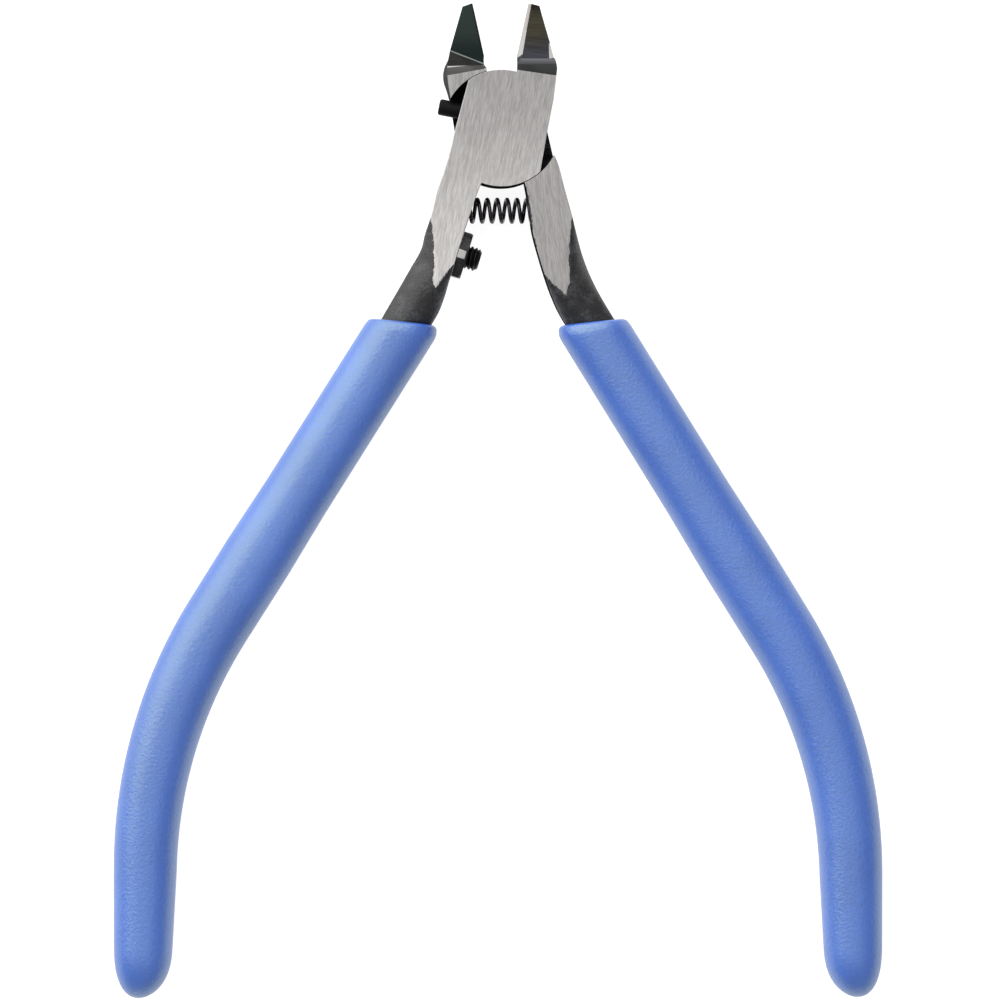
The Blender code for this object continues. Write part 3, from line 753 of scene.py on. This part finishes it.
def makeRearForging():
    plan = rearPlan
    outline = joinLines(
        straightLine(plan["jaw"], 0.15), smoothLine(plan["shoulder"], 0.15),
        straightLine(plan["leftEdge"]), arcLine(discRadius, -131.8, -66.8), smoothLine(plan["inner"]),
        straightLine(plan["end"]), smoothLine(plan["outer"]), straightLine(plan["rightEdge"]),
        arcLine(discRadius, 55.4, 104.5), smoothLine(plan["throat"], 0.15))
    creases = []
    for line in leftJaw["lines"][:4]:
        # each fanned line is carried on a little past the outer side
        near, far = line[:2]
        slope = (far[1] - near[1]) / (far[0] - near[0])
        creases.append(straightLine([np.subtract(near, (0.6, 0.6 * slope)), far], 0.18))
    bevelLine = [np.subtract(edgePoint(-1, distance), (leftJaw["bevel"], 0))
                 for distance in (9.0, jaws["tip"])]
    creases += [straightLine(line, 0.18) for line in (leftJaw["side"], leftJaw["glint"], bevelLine)]
    points, triangles = planMesh(outline, creases + recessRings, 3.0)
    drop = forgedDrop(points, outline, plan["taper"])
    top = np.minimum(faceTop - drop, leftJawFace(points))
    top = np.where(np.hypot(*points.T) < recessRadius, middle - lapGap / 2, top)
    solid = slab(points, triangles, np.maximum(top, drop + 0.05), drop)
    points, faces = drilled(*solid, [boreCutter, pocketCutter(bores["rightPocket"])])
    # each jaw facet takes its own tone of painted light and shade
    jawSteels = [
        (slopeSteel, lambda p: leftBand(p[:, :2]) == 0),
        (paintedGlintSteel, lambda p: (leftBand(p[:, :2]) == 0) & (leftOf(p[:, :2], *leftJaw["glint"]) > 0)),
        (shadedFacetSteel, lambda p: leftBand(p[:, :2]) == 1),
        (ridgeSteel, lambda p: leftBand(p[:, :2]) == 2),
        (facetSteel, lambda p: leftBand(p[:, :2]) == 3),
        (sideSteel, lambda p: outboard(p[:, :2])),
    ]
    return finishForging("rearForging", points, faces, plan["taper"], rearSteel, jawSteels)


frontForging = makeFrontForging()
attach(frontForging, "front_half")
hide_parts("front_lever")
print("front lever made")

rearForging = makeRearForging()
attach(rearForging, "rear_half")
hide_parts("rear_lever")
print("rear lever made")

rivetShape = {"head": 2.908, "shank": 1.998, "cone": 0.86}
rivetRings = [(0.0, rivetShape["head"]), (rivetShape["cone"], rivetShape["shank"]),
              (faceTop - rivetShape["cone"], rivetShape["shank"]), (faceTop, rivetShape["head"])]
rivet = makePiece("flushRivet", *turned((0, 0, 0), (0, 0, faceTop), rivetRings, 96), [frontSteel],
                  smoothAngle=20.0)
markGround(rivet, np.full(len(rivet.data.vertices), 3.0))
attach(rivet, "rear_half")
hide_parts("pivot_rivet")

pinShape = {"end": (-7.5, 2.63), "slope": -11.0, "length": 4.1, "radius": 0.97,
            "rounding": ((0.0, 0.22), (0.03, 0.16), (0.12, 0.05), (0.24, 0.0))}
pinHeading = np.array([cos(radians(pinShape["slope"])), sin(radians(pinShape["slope"])), 0.0])
pinStart = np.array([*pinShape["end"], faceTop * 0.75 + lapGap / 4])
pinRings = [(inward, pinShape["radius"] - less) for inward, less in pinShape["rounding"]]
pinRings.append((pinShape["length"], pinShape["radius"]))
stopPin = makePiece("openingStop", *turned(pinStart, pinStart + pinHeading, pinRings, 64), [pinHardware])
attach(stopPin, "front_half")
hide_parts("opening_stop_pin")

screwShape = {"length": 6.0, "crest": 1.42, "root": 1.16, "pitch": 0.5, "point": 1.0, "flats": 1.5,
              "socket": 1.4}


def hexagonRadius(flats, turn):
    # half the width over the cosine of the angle from the middle of the nearest side
    return flats / 2 / np.cos((turn + pi / 6) % (pi / 3) - pi / 6)


def aroundScrew(turn):
    # unit directions across the screw's axis
    side = np.cross(screwAxis, (0, 0, 1))
    return np.cos(turn)[..., None] * side + np.sin(turn)[..., None] * np.array([0, 0, 1.0])


def threadedScrew():
    # a rod whose radius follows a triangle wave of the distance along it less the turn around it,
    # narrowed at both ends, then down into a hexagonal socket
    shape = screwShape
    distance = np.linspace(0, shape["length"], 180)[:, None]
    turn = (2 * pi * np.arange(48) / 48)[None, :]
    wave = abs((distance / shape["pitch"] - turn / (2 * pi)) % 1 - 0.5) * 2
    radius = shape["root"] + (shape["crest"] - shape["root"]) * np.clip(1.25 * wave, 0, 1)
    ends = np.minimum(distance, shape["length"] - distance)
    radius = np.minimum(radius, np.minimum(shape["point"] + 1.1 * ends, shape["crest"]))
    hexagon = hexagonRadius(shape["flats"], turn)
    rim = 0.05
    places = np.array([[0.0], [rim], [shape["socket"]]])
    distance = np.concatenate([distance, shape["length"] - places])
    radius = np.concatenate([radius, hexagon + rim, hexagon, hexagon])
    spot = screwTip - screwAxis * distance[..., None]
    return closedSurface(spot + aroundScrew(turn) * radius[..., None])


screw = makePiece("threadedStop", *threadedScrew(), [blackHardware], smoothAngle=40.0)
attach(screw, "set_screw")
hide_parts("stopper_set_screw")

nutShape = {"flats": 5.5, "thickness": 1.15, "setback": 1.62, "hole": 1.5, "chamfer": 0.22,
            "faceOver": 1.03, "chamferDepth": 0.36, "boreChamfer": 0.15}


def lockNut():
    # a hexagonal ring whose corners are turned down at the free face and cut level with the joint's faces
    shape = nutShape
    turn = (2 * pi * np.arange(144) / 144)[None, :]
    hexagon = hexagonRadius(shape["flats"], turn)
    faceRadius = shape["flats"] / 2 * shape["faceOver"]
    face = np.minimum(hexagon, faceRadius)
    belt = np.minimum(hexagon, faceRadius + shape["chamferDepth"])
    bore = np.full_like(turn, shape["hole"])
    flare = shape["boreChamfer"]
    back = shape["thickness"]
    rings = [(0.0, face), (shape["chamfer"], belt), (back, belt)]
    rings += [(back, bore + flare), (back - flare, bore), (flare, bore), (0.0, bore + flare)]
    around = aroundScrew(turn)[0]
    grid = np.array([screwTip - screwAxis * (shape["setback"] + place) + around * size[0][:, None]
                     for place, size in rings])
    grid[..., 2] = np.clip(grid[..., 2], 0.0, faceTop)
    faces = gridFaces(*grid.shape[:2], looped=True)
    points = grid.reshape(-1, 3)
    a, b, c, d = (points[faces[:, i]] for i in range(4))
    if (a * (np.cross(b, c) + np.cross(c, d))).sum() < 0:
        faces = faces[:, ::-1]
    return points, faces.tolist()


nutPoints, nutFaces = lockNut()
nutCentres = nutPoints[np.array(nutFaces)].mean(1)
nutSeated = (screwTip - nutCentres) @ screwAxis > nutShape["setback"] + nutShape["thickness"] - 0.01
nutGround = abs(nutCentres[:, 2] - middle) > middle - 0.01
# the nut's seated face takes the shineless black: painted shade
nut = makePiece("lockNut", nutPoints, nutFaces, [nutHardware, nutSteel, oxideAndShadeBlack],
                np.where(nutSeated, 2, np.where(nutGround, 1, 0)), 30.0)
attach(nut, "lock_nut")
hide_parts("stopper_lock_nut")
print("small hardware made")

springShape = {"left": -6.0, "right": 5.6, "coil": 1.36, "wire": 0.24, "pitch": 1.19, "topAt": -2.86}


def coilSpring():
    # a circle of wire carried round a helix, which is a cosine across the coil and a sine upwards
    shape = springShape
    x = np.linspace(shape["left"] + shape["wire"], shape["right"] - shape["wire"], 470)
    turn = 2 * pi * (x - shape["topAt"]) / shape["pitch"]
    out = np.stack([np.zeros_like(x), np.cos(turn), np.sin(turn)], -1)
    rise = np.full_like(x, shape["pitch"] / (2 * pi))
    along = np.stack([rise, -shape["coil"] * np.sin(turn), shape["coil"] * np.cos(turn)], -1)
    along /= np.linalg.norm(along, axis=1)[:, None]
    across = np.cross(along, out)
    axis = np.stack([x, np.full_like(x, springLevel), np.full_like(x, middle)], -1)
    centre = axis + shape["coil"] * out
    around = 2 * pi * np.arange(12) / 12
    ring = np.cos(around)[None, :, None] * out[:, None] + np.sin(around)[None, :, None] * across[:, None]
    return closedSurface(centre[:, None] + shape["wire"] * ring)


spring = makePiece("coilSpring", *coilSpring(), [springHardware])
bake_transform(spring)
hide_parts("return_spring")
print("spring made")

gripShape = {
    # the start, slope from the upright and straight length of the left grip, then of the right one
    "line": {-1: ((-11.30, -22.95), 32.2, 42.6), 1: ((10.50, -22.95), 31.8, 43.9)},
    "bend": 57.0, "endSlope": 1.5, "wall": 1.12, "depth": 69.0,
    # the mouth leans, is worn narrower over a short span, and has a rounded lip
    "mouthAt": 0.35, "mouthSlope": 5.0, "mouthReach": 8.0, "mouthWorn": 0.45, "mouthShift": 0.35,
    "wornSpan": 1.6, "lip": 0.42, "innerLip": 0.22,
    # the closed end is a dome that leans outward
    "tipFrom": 83.45, "tipTo": 89.75, "tipShift": 0.45, "domePower": 2.6, "domeLeast": 0.0004,
    # superellipse powers of the inside and the outside
    "insidePower": 3.0, "outsidePower": 2.3,
    # width and thickness at distances along the centre line
    "sizes": [(0, 8.12, 7.8), (25, 8.15, 7.9), (34, 8.5, 8.1), (44, 8.4, 8.1), (52, 8.2, 8.0),
              (63, 7.9, 7.8), (75, 7.56, 7.6), (83, 7.1, 7.3), (90, 6.7, 7.0)],
}


def gripCentre(distance, side):
    # a straight stretch, then a circular bend, then a straight end; gives the point and the slope there
    shape = gripShape
    start, slope, length = shape["line"][side]
    slope = radians(slope)
    last = radians(shape["endSlope"])
    straight = np.minimum(distance, length)
    past = np.maximum(distance - length, 0)
    bend = np.maximum(slope - past / shape["bend"], last)
    end = np.maximum(past - shape["bend"] * (slope - last), 0)
    out = sin(slope) * straight + shape["bend"] * (np.cos(bend) - cos(slope)) + sin(last) * end
    down = cos(slope) * straight + shape["bend"] * (sin(slope) - np.sin(bend)) + cos(last) * end
    return np.stack([start[0] + side * out, start[1] - down], -1), bend


def gripRings(distance, inset, power, side, count=80):
    # superellipse sections across the centre line, less an inset, leaning towards the oblique mouth near
    # the top and shrinking to a lopsided dome at the end
    shape = gripShape
    sizes = np.array(shape["sizes"])
    wide = np.interp(distance, sizes[:, 0], sizes[:, 1])
    thick = np.interp(distance, sizes[:, 0], sizes[:, 2])
    part = np.clip((distance - shape["tipFrom"]) / (shape["tipTo"] - shape["tipFrom"]), 0, 1)
    dome = np.sqrt(np.clip(1 - part ** shape["domePower"], shape["domeLeast"], 1))
    spot, slope = gripCentre(distance, side)
    near = np.clip(1 - distance / shape["mouthReach"], 0, 1)
    lean = slope - (slope - radians(shape["mouthSlope"])) * near
    across = np.stack([np.cos(lean), side * np.sin(lean)], -1)
    worn = np.clip(1 - (distance - shape["mouthAt"]) / shape["wornSpan"], 0, 1) ** 2
    outward = shape["tipShift"] * part ** 3 + shape["mouthShift"] * worn
    spot = spot + across * (side * outward)[:, None]
    inset = inset + shape["mouthWorn"] * worn
    wide = (wide * dome - 2 * inset) / np.cos(slope - lean)
    thick = thick * dome - 2 * inset
    turn = 2 * pi * np.arange(count) / count
    x = np.sign(np.cos(turn)) * abs(np.cos(turn)) ** (2 / power[:, None])
    z = np.sign(np.sin(turn)) * abs(np.sin(turn)) ** (2 / power[:, None])
    plan = spot[:, None] + across[:, None] * (x * wide[:, None] / 2)[..., None]
    return np.concatenate([plan, (middle + z * thick[:, None] / 2)[..., None]], -1)


def sleeve(side):
    # up the inside, over a rounded lip and down the outside to the closed end, in four stretches of
    # rings that each have a distance, an inset from the outside and a superellipse power
    shape = gripShape
    wall = shape["wall"]
    mouth = shape["mouthAt"]
    corner = np.radians(np.linspace(0, 90, 8))
    inner = np.linspace(shape["depth"], mouth + 0.6, 60)
    innerLip = shape["innerLip"] * (1 - np.sin(corner))
    innerLipInset = wall - shape["innerLip"] * (1 - np.cos(corner))
    outerLip = shape["lip"] * (1 - np.cos(corner))
    outerLipInset = shape["lip"] * (1 - np.sin(corner))
    near = np.linspace(mouth + shape["lip"], shape["mouthReach"], 24)[1:]
    far = np.linspace(shape["mouthReach"], shape["tipFrom"], 100)[1:]
    dome = (shape["tipTo"] - shape["tipFrom"]) * np.sin(np.linspace(0.06, pi / 2, 24))
    outer = np.concatenate([near, far, shape["tipFrom"] + dome])
    parts = [
        (inner, np.full(60, wall), np.full(60, shape["insidePower"])),
        (mouth + innerLip, innerLipInset, np.linspace(shape["insidePower"], 2.7, 8)),
        (mouth + outerLip, outerLipInset, np.linspace(2.6, shape["outsidePower"], 8)),
        (outer, np.zeros(len(outer)), np.full(len(outer), shape["outsidePower"])),
    ]
    distance, inset, power = (np.concatenate(column) for column in zip(*parts))
    return closedSurface(gripRings(distance, inset, power, side))


tangShape = {"from": 2.0, "to": 68.0, "rings": 70, "clearance": 0.08, "narrowing": 1.2, "narrowSpan": 1.5}


def tang(side):
    # the rest of the forging, inside the sleeve, narrowed at its start
    shape = tangShape
    distance = np.linspace(shape["from"], shape["to"], shape["rings"])
    start = 1 - np.clip((distance - shape["from"]) / shape["narrowSpan"], 0, 1)
    inset = gripShape["wall"] + shape["clearance"] + shape["narrowing"] * start ** 2
    power = np.full(shape["rings"], gripShape["insidePower"])
    return closedSurface(gripRings(distance, inset, power, side, 40))


sleeves = (("leftSleeve", -1, "front_half", "left_grip"), ("rightSleeve", 1, "rear_half", "right_grip"))
for name, side, body, node in sleeves:
    grip = makePiece(name, *sleeve(side), [vinyl])
    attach(grip, body)
    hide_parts(node)
for name, side, body in (("leftTang", -1, "front_half"), ("rightTang", 1, "rear_half")):
    core = makePiece(name, *tang(side), [forgedBlack])
    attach(core, body)
print("grips made")

studio = {
    # the camera and its aim are in metres, the floor's level in millimetres
    "world": 0.5, "floor": -1.3, "halfFloor": 3.0, "floorTone": (0.38, 0.38, 0.38, 1.0),
    "floorFleck": (0.4, 0.4, 0.4, 1.0), "floorGlow": 0.85,
    "camera": (-0.0151, -0.0446, 0.70), "aim": (-0.00012, -0.0446, 0.003), "lens": 208.5,
}
panels = [
    {"name": "key", "power": 20.5, "size": (2.0, 1.3), "place": (-0.438, 0.58, 0.48),
     "upward": (0, 0, 1)},
    {"name": "overhead", "power": 4.3, "size": (1.4, 1.4), "place": (-0.1, 0.1, 1.2),
     "upward": (0, 1, 0)},
]


def lookAt(made, target, upward):
    # point -Z at the target and keep the upward direction towards the top
    back = (made.location - Vector(target)).normalized()
    right = Vector(upward).cross(back).normalized()
    made.rotation_euler = Matrix((right, back.cross(right), back)).transposed().to_euler()


def makeWorld(scene):
    scene.view_settings.view_transform = "Standard"
    world = bpy.data.worlds.new("studio")
    scene.world = world
    world.use_nodes = True
    background = world.node_tree.nodes["Background"].inputs
    background["Color"].default_value = (1, 1, 1, 1)
    background["Strength"].default_value = studio["world"]


def makePanel(scene, panel):
    light = bpy.data.lights.new(panel["name"], "AREA")
    light.energy = panel["power"]
    light.shape = "RECTANGLE"
    light.size, light.size_y = panel["size"]
    lamp = bpy.data.objects.new(panel["name"], light)
    lamp.location = panel["place"]
    lookAt(lamp, studio["aim"], panel["upward"])
    scene.collection.objects.link(lamp)


def makeFloor(scene):
    half = studio["halfFloor"]
    sheet = bpy.data.meshes.new("floor")
    corners = [(-half, -half), (half, -half), (half, half), (-half, half)]
    sheet.from_pydata([(x, y, studio["floor"] * mm) for x, y in corners], [], [(0, 1, 2, 3)])
    paper = Finish("paleFloor", Roughness=0.9, Emission_Color=(1, 1, 1, 1),
                   Emission_Strength=studio["floorGlow"])
    cloud = paper.noise((400.0, 400.0, 400.0))
    paper.feed("Base Color", paper.mix(cloud, studio["floorTone"], studio["floorFleck"]))
    sheet.materials.append(paper.material)
    floor = bpy.data.objects.new("floor", sheet)
    scene.collection.objects.link(floor)


def makeCamera(scene):
    lens = bpy.data.cameras.new("camera")
    lens.lens = studio["lens"]
    lens.sensor_width = 36.0
    camera = bpy.data.objects.new("camera", lens)
    camera.location = studio["camera"]
    lookAt(camera, studio["aim"], (0, 1, 0))
    scene.collection.objects.link(camera)
    scene.camera = camera


scene = bpy.context.scene
makeWorld(scene)
for panel in panels:
    makePanel(scene, panel)
makeFloor(scene)
makeCamera(scene)
print("studio made")
